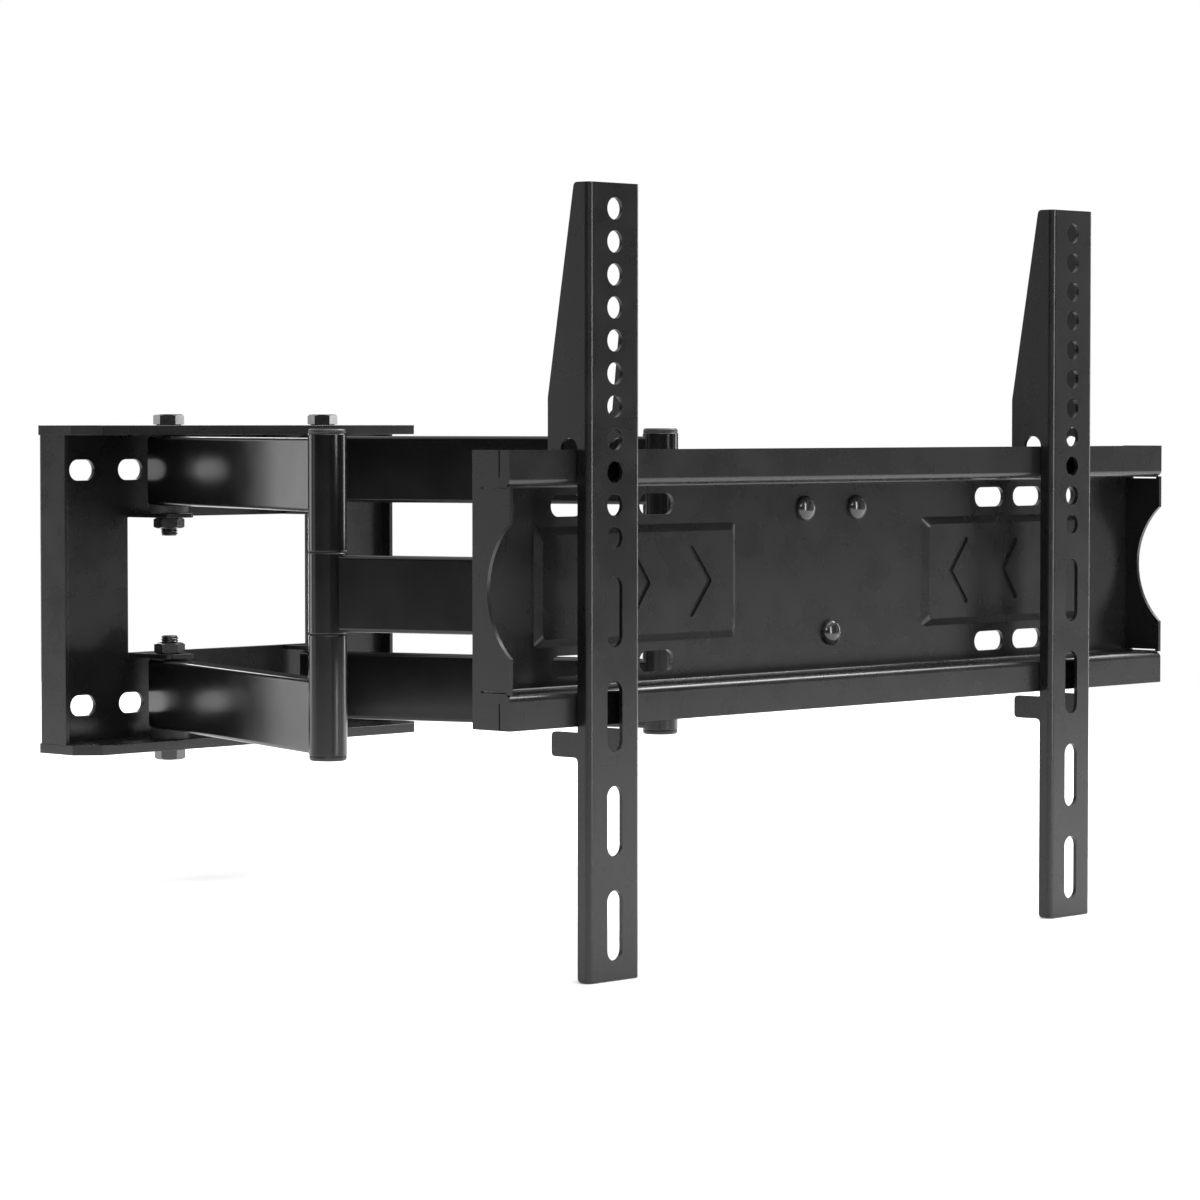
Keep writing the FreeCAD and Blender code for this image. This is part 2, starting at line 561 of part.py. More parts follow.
def chevron(tip, reach, half_height, y0, y1):
    """A groove like an arrow head with round ends, its tip towards the plate's middle."""
    strokes = []
    for side in (-1, 1):
        length = math.hypot(reach, half_height)
        stroke = fuse([box(0, length, y0, y1, -CHEVRON_WIDTH / 2, CHEVRON_WIDTH / 2),
                       rod_y(0, y0, y1, 0, CHEVRON_WIDTH), rod_y(length, y0, y1, 0, CHEVRON_WIDTH)])
        slope = math.degrees(math.atan2(side * half_height, reach))
        stroke.rotate(Vector(0, 0, 0), Vector(0, -1, 0), slope)
        stroke.translate(Vector(tip, 0, TV_CENTRE_Z))
        strokes.append(stroke)
    return fuse(strokes)


def end_flange():
    """The right end flange, with a round bite in its front edge."""
    x0, x1 = TV_WIDTH / 2 - TV_SHEET, TV_WIDTH / 2
    behind_lip = LIP_FRONT + TV_SHEET
    plate = fuse([box(x0, x1, behind_lip, PANEL_BACK, TV_BOTTOM, TV_TOP),
                  box(x0, x1, LIP_FRONT, PANEL_BACK, TV_BOTTOM + LIP_HEIGHT, TV_TOP - LIP_HEIGHT)])
    radius = (BITE_CHORD ** 2 / 4 + BITE_DEPTH ** 2) / (2 * BITE_DEPTH)
    bite = rod_x(x0, x1, LIP_FRONT + BITE_DEPTH - radius, TV_CENTRE_Z, 2 * radius)
    slits = []
    for side in (-1, 1):
        z = TV_CENTRE_Z + side * (TV_HEIGHT / 2 - LIP_HEIGHT - END_SLIT)
        slit_low, slit_high = z - END_SLIT / 2, z + END_SLIT / 2
        slits.append(box(x0, x1, behind_lip, PANEL_BACK - END_SLIT_STOP, slit_low, slit_high))
        z0, z1 = sorted((TV_CENTRE_Z + side * (TV_HEIGHT / 2 - END_SLIT_SHORT),
                         TV_CENTRE_Z + side * TV_HEIGHT / 2))
        y = LIP_FRONT + END_SLIT_FRONT
        slits.append(box(x0, x1, y - END_SLIT / 2, y + END_SLIT / 2, z0, z1))
    return cut(plate, [bite] + slits)


def tv_plate():
    mid = TV_SHEET / 2
    half = TV_WIDTH / 2
    top_web, bottom_web = TV_TOP - LIP_HEIGHT + mid, TV_BOTTOM + LIP_HEIGHT - mid
    lip, back = LIP_FRONT + mid, PANEL_BACK - mid
    section = [(lip, TV_TOP), (lip, top_web), (back, top_web), (back, bottom_web), (lip, bottom_web),
               (lip, TV_BOTTOM)]
    path = [Vector(-half, y, z) for y, z in section]
    sheet = bent_sheet(path, TV_SHEET, TV_BEND, Vector(TV_WIDTH, 0, 0))
    right = end_flange()
    slot_gap = TV_SHEET + END_SLIT
    relief = [box(half - slot_gap, half - TV_SHEET, LIP_FRONT + TV_SHEET, PANEL_BACK - END_SLIT_STOP,
                  z - RELIEF_HALF, z + RELIEF_HALF) for z in (top_web, bottom_web)]
    sheet = cut(sheet, relief + [mirror(cutter) for cutter in relief])
    grooves = []
    face = PANEL_FRONT - PAD_RAISE
    pad = frustum(PAD_INNER_X, PAD_OUTER_X, PAD_BOTTOM, PAD_TOP, PANEL_FRONT, face, PAD_BEVEL)
    pocket = frustum(PAD_INNER_X + TV_SHEET, PAD_OUTER_X - TV_SHEET, PAD_BOTTOM + TV_SHEET,
                     PAD_TOP - TV_SHEET, PANEL_BACK, face + TV_SHEET, PAD_BEVEL)
    for tip, reach, half_height in CHEVRONS:
        grooves.append(chevron(tip, reach, half_height, face, face + CHEVRON_DEPTH))
    pads = [pad, mirror(pad)]
    pockets = [pocket, mirror(pocket)]
    grooves += [mirror(groove) for groove in grooves]
    holes = [rod_y(x, PANEL_FRONT, PANEL_BACK, z, TV_BOLT_DIA) for x, z in tv_bolt_places()]
    for x0, x1 in TV_SLOTS:
        for z in (TV_CENTRE_Z - TV_SLOT_PITCH / 2, TV_CENTRE_Z + TV_SLOT_PITCH / 2):
            for side in (-1, 1):
                holes.append(slot_cut(side * (x0 + x1) / 2, z, x1 - x0, TV_SLOT_WIDTH, face, PANEL_BACK))
    return cut(fuse([sheet, right, mirror(right)] + pads), pockets + grooves + holes)


def tv_bolts():
    """Dome head bolts through the panel, screwed into the tilt bracket."""
    bolts = []
    radius = TV_BOLT_HEAD / 2
    sphere = (radius ** 2 + TV_BOLT_DOME ** 2) / (2 * TV_BOLT_DOME)
    for x, z in tv_bolt_places():
        ball = Part.makeSphere(sphere, Vector(x, PANEL_FRONT - TV_BOLT_DOME + sphere, z))
        dome = ball.common(rod_y(x, PANEL_FRONT - TV_BOLT_DOME, PANEL_FRONT, z, TV_BOLT_HEAD))
        shank = rod_y(x, PANEL_FRONT, PANEL_BACK + TILT_PLATE_SHEET, z, TV_BOLT_DIA)
        bolts.append(fuse([dome, shank]))
    return bolts


# ---- TV brackets ------------------------------------------------------------------------------
def flange_profile(depths):
    """The side outline of one bracket flange, from the given depths down to the bracket's foot."""
    front = LIP_FRONT - BRACKET_STANDOFF
    rail = LIP_FRONT - RAIL_GAP
    deep = front + FLANGE_DEEP
    tongue = deep - HOOK_TONGUE
    tongue_end = TV_TOP - LIP_HEIGHT + TV_SHEET + HOOK_FLOOR_GAP
    roof = TV_TOP + HOOK_ROOF - (tongue - rail) / 2
    tab_top = TV_BOTTOM - LOWER_TAB_DROP
    tab_bottom = tab_top - LOWER_TAB_HEIGHT
    tab_back = rail + LOWER_TAB_REACH
    top, bottom = BRACKET_TOP, BRACKET_TOP - BRACKET_LENGTH
    slant = [(front + depth, top - drop) for depth, drop in depths]
    return ([(front, top)] + slant
            + [(deep, slant[-1][1] - INNER_FLANGE_STEP), (deep, tongue_end), (tongue, tongue_end),
               (tongue, roof), (rail, roof), (rail, tab_top), (tab_back, tab_top),
               (tab_back, tab_bottom), (rail, tab_bottom), (rail, bottom), (front, bottom)])


def flange_outline(x0, x1, depths):
    """What one half of the bracket keeps: the profile with its hook's round roof and soft corners."""
    outline = prism([Vector(x0, y, z) for y, z in flange_profile(depths)], Vector(x1 - x0, 0, 0))
    rail = LIP_FRONT - RAIL_GAP
    tongue = LIP_FRONT - BRACKET_STANDOFF + FLANGE_DEEP - HOOK_TONGUE
    tab_back = rail + LOWER_TAB_REACH
    tab_top = TV_BOTTOM - LOWER_TAB_DROP
    top, bottom = BRACKET_TOP, BRACKET_TOP - BRACKET_LENGTH
    soft = [(LIP_FRONT - BRACKET_STANDOFF + depths[0][0], top), (rail, bottom),
            (tab_back, tab_top), (tab_back, tab_top - LOWER_TAB_HEIGHT), (rail, tab_top - LOWER_TAB_HEIGHT)]
    edges = [edge for edge in long_edges(outline, 0)
             if any(math.hypot(edge.CenterOfMass.y - y, edge.CenterOfMass.z - z) < NEAR for y, z in soft)]
    outline = outline.makeFillet(LOWER_TAB_CORNER, edges)
    roof = TV_TOP + HOOK_ROOF - (tongue - rail) / 2
    return outline.cut(rod_x(x0, x1, (rail + tongue) / 2, roof, tongue - rail))


def tv_bracket(x, inner_depths):
    front = LIP_FRONT - BRACKET_STANDOFF
    top, bottom = BRACKET_TOP, BRACKET_TOP - BRACKET_LENGTH
    half = BRACKET_WIDTH / 2
    outer_depths = ((FLANGE_TOP, 0.0), (FLANGE_DEEP, top - TV_TOP - FLANGE_SLANT_END))
    outline = fuse([flange_outline(x - half, x, outer_depths), flange_outline(x, x + half, inner_depths)])
    inset = half - BRACKET_SHEET / 2
    spine, back = front + BRACKET_SHEET / 2, front + 2 * FLANGE_DEEP
    path = [Vector(x - inset, back, bottom), Vector(x - inset, spine, bottom),
            Vector(x + inset, spine, bottom), Vector(x + inset, back, bottom)]
    channel = bent_sheet(path, BRACKET_SHEET, BRACKET_BEND, Vector(0, 0, BRACKET_LENGTH))
    holes = [rod_y(x, front, front + BRACKET_SHEET, top - FIRST_HOLE_DROP - i * HOLE_PITCH, HOLE_DIA)
             for i in range(HOLE_COUNT)]
    for i in range(SLOT_COUNT):
        z = top - FIRST_SLOT_DROP - i * SLOT_PITCH
        holes.append(slot_cut(x, z, SLOT_LENGTH, HOLE_DIA, front, front + BRACKET_SHEET, upright=True))
    return cut(channel.common(outline), holes)


# ---- Build ------------------------------------------------------------------------------------
def main():
    os.makedirs("parts", exist_ok=True)
    write("wall_panel", [wall_panel()])
    write("wall_top_plate", [pivot_plate(PANEL_Z)])
    write("wall_bottom_plate", [pivot_plate(-PANEL_Z - PIVOT_PLATE)])
    bolts, nuts = shoulder_bolts()
    write("shoulder_bolts", bolts)
    write("shoulder_nuts", nuts)
    write("shoulder_spacers", shoulder_spacers())
    write_arms()
    write("head_yoke", [head_yoke()])
    bolts, nuts, washers = head_bolts()
    write("head_pivot_bolts", bolts)
    write("head_pivot_nuts", nuts)
    write("head_pivot_washers", washers)
    pin, nut = swivel_hardware()
    write("swivel_pin", [pin])
    write("swivel_nut", [nut])
    write("swivel_barrel", [swivel_barrel()])
    write("tilt_bolts", tilt_bolts())
    write("tilt_bracket", [tilt_bracket()])
    write("tv_plate", [tv_plate()])
    write("tv_plate_bolts", tv_bolts())
    write("left_tv_bracket", [tv_bracket(BRACKET_LEFT_X, INNER_FLANGE_LEFT)])
    write("right_tv_bracket", [tv_bracket(BRACKET_RIGHT_X, INNER_FLANGE_RIGHT)])


main()
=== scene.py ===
"""Looks for the full motion television wall mount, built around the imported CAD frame.

Units are metres, in the row frame: +Z up, +X right along the wall, the television side faces -Y.
"""

import bmesh
import bpy
import json
import math
from mathutils import Matrix, Vector


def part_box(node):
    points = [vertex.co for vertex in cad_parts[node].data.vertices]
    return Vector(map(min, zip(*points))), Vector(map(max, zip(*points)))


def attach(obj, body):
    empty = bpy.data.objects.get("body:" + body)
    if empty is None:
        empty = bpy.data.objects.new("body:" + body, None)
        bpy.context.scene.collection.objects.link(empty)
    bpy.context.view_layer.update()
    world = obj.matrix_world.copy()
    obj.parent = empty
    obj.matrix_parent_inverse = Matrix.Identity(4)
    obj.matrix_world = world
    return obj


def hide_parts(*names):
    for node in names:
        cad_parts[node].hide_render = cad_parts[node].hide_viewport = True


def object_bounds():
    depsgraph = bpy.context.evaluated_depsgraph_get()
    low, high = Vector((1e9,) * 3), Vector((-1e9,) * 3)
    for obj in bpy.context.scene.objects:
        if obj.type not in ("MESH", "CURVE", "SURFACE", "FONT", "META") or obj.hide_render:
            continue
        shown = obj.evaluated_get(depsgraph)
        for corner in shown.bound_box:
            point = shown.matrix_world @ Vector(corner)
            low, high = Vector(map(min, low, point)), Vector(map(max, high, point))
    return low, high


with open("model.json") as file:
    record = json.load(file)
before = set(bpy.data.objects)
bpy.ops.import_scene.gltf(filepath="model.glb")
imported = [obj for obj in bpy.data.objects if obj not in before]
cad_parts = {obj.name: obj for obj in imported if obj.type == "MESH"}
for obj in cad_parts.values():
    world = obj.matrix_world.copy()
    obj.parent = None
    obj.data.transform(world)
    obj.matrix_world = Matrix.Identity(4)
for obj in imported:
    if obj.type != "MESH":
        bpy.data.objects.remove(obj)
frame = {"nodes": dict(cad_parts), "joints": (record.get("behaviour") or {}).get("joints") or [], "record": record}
CAD_LOW, CAD_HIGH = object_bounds()
NODES = frame["nodes"]
JOINTS = {joint["name"]: joint for joint in frame["joints"]}

# ---- Camera and stage -------------------------------------------------------------------------
CAMERA_PLACE = (-1.9546, -2.1854, 0.1114)
CAMERA_YAW = 47.0             # degrees to the right of straight at the wall
CAMERA_DOWN = 2.419
CAMERA_LENS = 126.63
SENSOR = 36.0
FLOOR_RADIUS = 2.2
FLOOR_CLEARANCE = 0.0005
FLOOR_WHITE = 0.95
CENTRE = (CAD_LOW + CAD_HIGH) / 2
SKY = 1.25                    # world brightness overhead
SKY_EDGE = (0.30, 0.72)       # height of a direction where the sky begins, and where it is full
WALLS = 0.04                  # world brightness near the horizon
SOFTBOXES = {                 # azimuth, elevation, distance, width, height, radiance
    "overhead": (290.0, 76.0, 2.4, 2.2, 2.2, 2.2),
    "faces": (322.0, 2.0, 3.0, 0.8, 1.3, 0.42),
    "key": (279.0, 8.0, 3.0, 0.36, 2.0, 15.0),
    "edges": (228.0, 22.0, 3.2, 1.6, 0.5, 9.0),
    "top_edges": (352.0, 44.0, 3.0, 2.0, 1.0, 13.0),
    "facets": (347.0, 8.0, 3.0, 0.45, 1.6, 7.0),
    "sides": (140.0, 2.0, 3.0, 0.6, 1.4, 1.1),
    "back_left": (108.0, 5.0, 3.0, 1.3, 1.6, 2.4),
    "rim": (62.0, 10.0, 3.0, 0.4, 1.8, 6.0),
}

# ---- Edge and hardware sizes ------------------------------------------------------------------
SHEET_EDGE = 0.0008           # rounding of a cut sheet edge
TUBE_RIM_EDGE = 0.0008
CAP_EDGE = 0.0009
EDGE_ANGLE = 22.0             # degrees: sharper than this is rounded
FACET_ANGLE = 60.0
CHAMFER = math.radians(30)    # chamfer angle on a hexagon's corners
HEX_STEPS = 8                 # columns along one flat of a hexagon
THREAD_COLUMNS = 32
THREAD_ROWS = 6               # rows of vertices in one turn of thread
THREAD_DEPTH = 0.61           # share of the pitch
M12 = {"radius": 0.006, "flats": 0.018, "head": 0.0075, "nut": 0.0073, "pitch": 0.00175}
M8 = {"radius": 0.004, "flats": 0.013, "head": 0.0053, "nut": 0.0053, "pitch": 0.00125}
BOLT_END = 0.0048             # thread past the nut
HEAD_TURN = 15.0
NUT_TURN = 20.0
DOME_RADIUS = 0.00775
DOME_HEIGHT = 0.005
DOME_SKIRT = 0.0009
DOME_COLUMNS = 64
CAP_HEIGHT = 0.003
CAP_PLUG = 0.006
CAP_PLUG_RADIUS = 0.0084
CAP_SHOULDER = 0.0016
CAP_DISH = 0.0004
HEX_FACE = 0.475              # radius of a head's flat end, as a share of its flats
HEX_LEAD = 0.0006             # height of the thread's lead-in, and of the step under a head
HEX_LEAD_WIDER = 1.08         # the lead-in's mouth, as a share of the bore
HEAD_DISH = 0.0002
SOCKET = 0.95                 # hexagon socket's flats, as a share of the screw head's radius
SMALL_EDGE = 0.0002           # first rounding step at the foot of a turned head

# ---- Finish -----------------------------------------------------------------------------------
NOISE_MIDDLE = (0.32, 0.68)   # where most values of a noise lie
CLOUD_SCALE = 14.0
GLOSS_SCALE = 38.0
PEEL_SCALE = 260.0
WELD = 0.00001
FLAT_ANGLE = 0.5              # degrees: facets flatter than this are one face
TURNED_ANGLE = 50.0           # degrees: smooth shading limit on turned pieces


# ---- Materials --------------------------------------------------------------------------------
def node(tree, kind, **settings):
    made = tree.nodes.new(kind)
    for name, value in settings.items():
        if name in made.inputs:
            made.inputs[name].default_value = value
        else:
            setattr(made, name, value)
    return made


def noise(tree, coordinates, scale, detail=2.0):
    texture = node(tree, "ShaderNodeTexNoise", Scale=scale, Detail=detail)
    tree.links.new(coordinates.outputs["Object"], texture.inputs["Vector"])
    return texture


def spread(tree, source, low, high):
    """Maps the middle of a noise to a range of values."""
    mapped = tree.nodes.new("ShaderNodeMapRange")
    mapped.inputs["From Min"].default_value = NOISE_MIDDLE[0]
    mapped.inputs["From Max"].default_value = NOISE_MIDDLE[1]
    mapped.inputs["To Min"].default_value = low
    mapped.inputs["To Max"].default_value = high
    tree.links.new(source.outputs["Fac"], mapped.inputs["Value"])
    return mapped


def coated_metal(name, dark, light, roughness, grain, grain_depth, orange_peel=0.0, coat=0.0,
                 metallic=0.0):
    """Painted or moulded black: cloudy tone, uneven gloss, a fine grain and a slower orange peel."""
    material = bpy.data.materials.new(name)
    material.use_nodes = True
    tree = material.node_tree
    shader = tree.nodes["Principled BSDF"]
    shader.inputs["Specular IOR Level"].default_value = 0.5
    shader.inputs["Metallic"].default_value = metallic
    shader.inputs["Coat Weight"].default_value = coat
    shader.inputs["Coat Roughness"].default_value = 0.06
    place = tree.nodes.new("ShaderNodeTexCoord")

    clouds = noise(tree, place, CLOUD_SCALE, 4.0)
    tone = tree.nodes.new("ShaderNodeMix")
    tone.data_type = "RGBA"
    tone.inputs[6].default_value = (*dark, 1)
    tone.inputs[7].default_value = (*light, 1)
    tree.links.new(spread(tree, clouds, 0.0, 1.0).outputs["Result"], tone.inputs[0])
    tree.links.new(tone.outputs[2], shader.inputs["Base Color"])

    sheen = noise(tree, place, GLOSS_SCALE, 3.0)
    gloss = spread(tree, sheen, roughness[0], roughness[1])
    tree.links.new(gloss.outputs["Result"], shader.inputs["Roughness"])

    fine = noise(tree, place, grain, 2.0)
    grain_bump = node(tree, "ShaderNodeBump", Strength=1.0, Distance=grain_depth)
    tree.links.new(fine.outputs["Fac"], grain_bump.inputs["Height"])
    last = grain_bump
    if orange_peel:
        peel = noise(tree, place, PEEL_SCALE, 1.0)
        last = node(tree, "ShaderNodeBump", Strength=1.0, Distance=orange_peel)
        tree.links.new(peel.outputs["Fac"], last.inputs["Height"])
        tree.links.new(grain_bump.outputs["Normal"], last.inputs["Normal"])
    tree.links.new(last.outputs["Normal"], shader.inputs["Normal"])
    return material


MATERIALS = {
    "satin_black_steel": coated_metal("satin_black_powder_coat", (0.0045, 0.0045, 0.0047),
                                      (0.0060, 0.0060, 0.0062), (0.25, 0.31), 1500.0, 0.000012,
                                      orange_peel=0.000008),
    "gloss_black_steel": coated_metal("gloss_black_enamel", (0.0022, 0.0022, 0.0024),
                                      (0.0032, 0.0032, 0.0034), (0.19, 0.23), 1400.0, 0.000004,
                                      orange_peel=0.000006),
    "black_fasteners": coated_metal("black_oxide_fastener", (0.012, 0.012, 0.013),
                                    (0.022, 0.022, 0.023), (0.16, 0.24), 2200.0, 0.000008,
                                    coat=0.3),
    "black_plastic": coated_metal("moulded_black_plastic", (0.013, 0.013, 0.014),
                                  (0.018, 0.018, 0.019), (0.36, 0.46), 2600.0, 0.00002),
    "nylon": coated_metal("black_nylon", (0.018, 0.018, 0.018), (0.024, 0.024, 0.024),
                          (0.5, 0.6), 2000.0, 0.00002),
}
SLOTS = {part["node"]: part["material_slot"] for part in frame["record"]["subparts"]}


# ---- CAD nodes --------------------------------------------------------------------------------
def rim_width(name):
    if "caps" in name:
        return CAP_EDGE
    return TUBE_RIM_EDGE if "tube" in name or "barrel" in name else SHEET_EDGE


def dress(name, shape):
    """Gives a CAD node its material and rounds its sharp edges for the light to catch."""
    shape.data.materials.clear()
    shape.data.materials.append(MATERIALS[SLOTS[name]])
    shape.data.shade_smooth()
    shape.data.set_sharp_from_angle(angle=math.radians(FACET_ANGLE))
    weld = shape.modifiers.new("weld", "WELD")
    weld.merge_threshold = WELD
    flat = shape.modifiers.new("flat faces", "DECIMATE")
    flat.decimate_type = "DISSOLVE"
    flat.angle_limit = math.radians(FLAT_ANGLE)
    bevel = shape.modifiers.new("edges", "BEVEL")
    bevel.width = rim_width(name)
    bevel.segments = 2
    bevel.limit_method = "ANGLE"
    bevel.angle_limit = math.radians(EDGE_ANGLE)
    normals = shape.modifiers.new("normals", "WEIGHTED_NORMAL")
    normals.mode = "FACE_AREA"
    normals.weight = 100


for cad_name, cad_shape in NODES.items():
    dress(cad_name, cad_shape)


# ---- Mesh helpers -----------------------------------------------------------------------------
def columns(mesh, rings, closed_ends=True):
    """Joins rings of equal length with faces, from the first to the last, and caps the ends."""
    rows = [[mesh.verts.new(point) for point in ring] for ring in rings]
    count = len(rows[0])
    for low, high in zip(rows, rows[1:]):
        for i in range(count):
            j = (i + 1) % count
            mesh.faces.new((low[i], low[j], high[j], high[i]))
    if closed_ends:
        mesh.faces.new(list(reversed(rows[0])))
        mesh.faces.new(rows[-1])


def circle(radius, z, count):
    turns = [2 * math.pi * i / count for i in range(count)]
    return [Vector((radius * math.cos(t), radius * math.sin(t), z)) for t in turns]


def lathe(mesh, profile, count):
    """A closed turned shape from (radius, height) points, low to high."""
    columns(mesh, [circle(radius, z, count) for radius, z in profile])


def hex_ring(flats, z, turn, chamfer_from=None):
    """A ring round a hexagon. With a chamfer radius, its corners drop under a 30 degree cone."""
    points = []
    for i in range(6 * HEX_STEPS):
        angle = math.pi / 3 * i / HEX_STEPS
        to_flat = angle % (math.pi / 3) - math.pi / 6
        radius = flats / 2 / math.cos(to_flat)
        drop = max(0.0, radius - chamfer_from) * math.tan(CHAMFER) if chamfer_from else 0.0
        points.append(Vector((radius * math.cos(angle + turn), radius * math.sin(angle + turn), z - drop)))
    return points


def hex_circle(radius, z, turn):
    count = 6 * HEX_STEPS
    turns = [2 * math.pi * i / count + turn for i in range(count)]
    return [Vector((radius * math.cos(t), radius * math.sin(t), z)) for t in turns]


def add_hex(mesh, flats, height, turn, bore=0.0):
    """A hexagon head or nut that stands on z 0, chamfered on top, and below too when it has a bore."""
    face = flats * HEX_FACE
    rings = []
    if bore:
        rings.append(hex_circle(bore, height * 0.5, turn))
        rings.append(hex_circle(bore, HEX_LEAD, turn))
        rings.append(hex_circle(bore * HEX_LEAD_WIDER, 0.0, turn))
        low = [Vector((p.x, p.y, height - p.z)) for p in hex_ring(flats, height, turn, face)]
        rings += [hex_circle(face, 0.0, turn), low]
    else:
        rings += [hex_circle(flats * 0.46, 0.0, turn), hex_circle(flats * 0.47, 0.0004, turn),
                  hex_ring(flats, HEX_LEAD, turn)]
    rings += [hex_ring(flats, height, turn, face), hex_circle(face, height, turn),
              hex_circle(face * 0.97, height, turn)]
    if bore:
        rings += [hex_circle(bore * HEX_LEAD_WIDER, height, turn),
                  hex_circle(bore, height - HEX_LEAD, turn),
                  hex_circle(bore, height * 0.5, turn)]
        columns(mesh, rings, closed_ends=False)
    else:
        rings += [hex_circle(face * 0.6, height - HEAD_DISH / 2, turn),
                  hex_circle(face * 0.3, height - HEAD_DISH, turn)]
        columns(mesh, rings)


def add_thread(mesh, radius, z0, z1, pitch):
    """A threaded shank end with a helical ridge and a chamfered tip at z1."""
    rows = max(4, int(abs(z1 - z0) / pitch * THREAD_ROWS))
    depth = pitch * THREAD_DEPTH
    tip = abs(z1 - z0) - depth
    rings = []
    for row in range(rows + 1):
        along = abs(z1 - z0) * row / rows
        ring = []
        for i in range(THREAD_COLUMNS):
            share = i / THREAD_COLUMNS
            wave = abs(((along / pitch + share) % 1.0) * 2 - 1)
            r = radius - depth * (1 - wave) * 0.9
            r = min(r, radius - max(0.0, along - tip))
            angle = 2 * math.pi * share
            z = z0 + math.copysign(along, z1 - z0)
            ring.append(Vector((r * math.cos(angle), r * math.sin(angle), z)))
        rings.append(ring)
    columns(mesh, rings)


def piece(name, mesh, material, body, replaced=(), smooth_angle=35.0):
    """Turns a bmesh into a piece that rides on a CAD body."""
    bmesh.ops.recalc_face_normals(mesh, faces=mesh.faces[:])
    data = bpy.data.meshes.new(name)
    mesh.to_mesh(data)
    mesh.free()
    data.materials.append(MATERIALS[material])
    made = bpy.data.objects.new(name, data)
    bpy.context.scene.collection.objects.link(made)
    data.shade_smooth()
    for edge in data.edges:
        edge.use_edge_sharp = False
    data.set_sharp_from_angle(angle=math.radians(smooth_angle))
    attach(made, body)
    if replaced:
        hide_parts(*replaced)
    return made


def placed(mesh, before, matrix):
    """Moves the vertices added since a count was taken."""
    mesh.verts.ensure_lookup_table()
    bmesh.ops.transform(mesh, matrix=matrix, verts=mesh.verts[before:])


def joint_place(name):
    return Vector(JOINTS[name]["pos_m"])


# ---- Fasteners --------------------------------------------------------------------------------
def add_bolt(mesh, matrix, size, turn, length, threaded):
    """A hexagon bolt whose head stands on local z 0 and whose shank runs down to -length."""
    before = len(mesh.verts)
    add_hex(mesh, size["flats"], size["head"], turn)
    columns(mesh, [circle(size["radius"], z, THREAD_COLUMNS) for z in (threaded - length, 0.0)])
    add_thread(mesh, size["radius"], threaded - length, -length, size["pitch"])
    placed(mesh, before, matrix)


def add_nut(mesh, matrix, size, turn):
    before = len(mesh.verts)
    add_hex(mesh, size["flats"], size["nut"], turn, bore=size["radius"])
    placed(mesh, before, matrix)


def add_cap_screw(mesh, matrix, radius, height):
    """A round screw head with a hexagon socket, standing on local z 0."""
    before = len(mesh.verts)
    socket = radius * SOCKET
    rings = [hex_circle(radius * 0.97, 0.0, 0.0), hex_circle(radius, SMALL_EDGE, 0.0),
             hex_circle(radius, height - 0.0005, 0.0), hex_circle(radius * 0.93, height, 0.0),
             hex_ring(socket, height, 0.0), hex_ring(socket * 0.96, height - 0.0003, 0.0),
             hex_ring(socket * 0.96, height * 0.45, 0.0)]
    columns(mesh, rings)
    placed(mesh, before, matrix)


def standing(x, y, z, upside_down=False):
    turn = Matrix.Rotation(math.pi, 4, "X") if upside_down else Matrix.Identity(4)
    return Matrix.Translation((x, y, z)) @ turn


def shoulder_fasteners():
    plate_top, plate_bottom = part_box("wall_top_plate")[1].z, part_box("wall_bottom_plate")[0].z
    nut_low, nut_high = (corner.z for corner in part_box("shoulder_nuts"))
    bolts, nuts = bmesh.new(), bmesh.new()
    turn = math.radians(HEAD_TURN)
    upper_length = plate_top - (nut_high - M12["nut"] - BOLT_END)
    lower_length = nut_low + M12["nut"] + BOLT_END - plate_bottom
    for joint in ("left_shoulder", "right_shoulder"):
        x, y, _ = joint_place(joint)
        add_bolt(bolts, standing(x, y, plate_top), M12, turn, upper_length, M12["nut"] + BOLT_END)
        add_bolt(bolts, standing(x, y, plate_bottom, True), M12, -turn, lower_length,
                 M12["nut"] + BOLT_END)
        nut_turn = math.radians(NUT_TURN)
        add_nut(nuts, standing(x, y, nut_high, True), M12, -nut_turn)
        add_nut(nuts, standing(x, y, nut_low), M12, nut_turn)
    piece("shoulder_bolts_threaded", bolts, "black_fasteners", "wall_plate", ["shoulder_bolts"])
    piece("shoulder_nuts_chamfered", nuts, "black_fasteners", "wall_plate", ["shoulder_nuts"])


def head_fasteners():
    top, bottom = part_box("head_yoke")[1].z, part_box("head_yoke")[0].z
    bolts, nuts = bmesh.new(), bmesh.new()
    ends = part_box("head_pivot_bolts")[0].z
    left = joint_place("left_head_pivot")
    for x in (left.x, -left.x):
        add_bolt(bolts, standing(x, left.y, top), M12, 0.0, top - ends, bottom - ends)
        add_nut(nuts, standing(x, left.y, bottom, True), M12, 0.0)
    piece("head_pivot_bolts_threaded", bolts, "black_fasteners", "head", ["head_pivot_bolts"])
    piece("head_pivot_nuts_chamfered", nuts, "black_fasteners", "head", ["head_pivot_nuts"])

    pin, nut = bmesh.new(), bmesh.new()
    swivel = joint_place("head_swivel")
    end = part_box("swivel_pin")[0].z
    add_bolt(pin, standing(swivel.x, swivel.y, top), M8, 0.0, top - end, bottom - end)
    add_nut(nut, standing(swivel.x, swivel.y, bottom, True), M8, 0.0)
    piece("swivel_pin_threaded", pin, "black_fasteners", "head", ["swivel_pin"])
    piece("swivel_nut_chamfered", nut, "black_fasteners", "head", ["swivel_nut"])


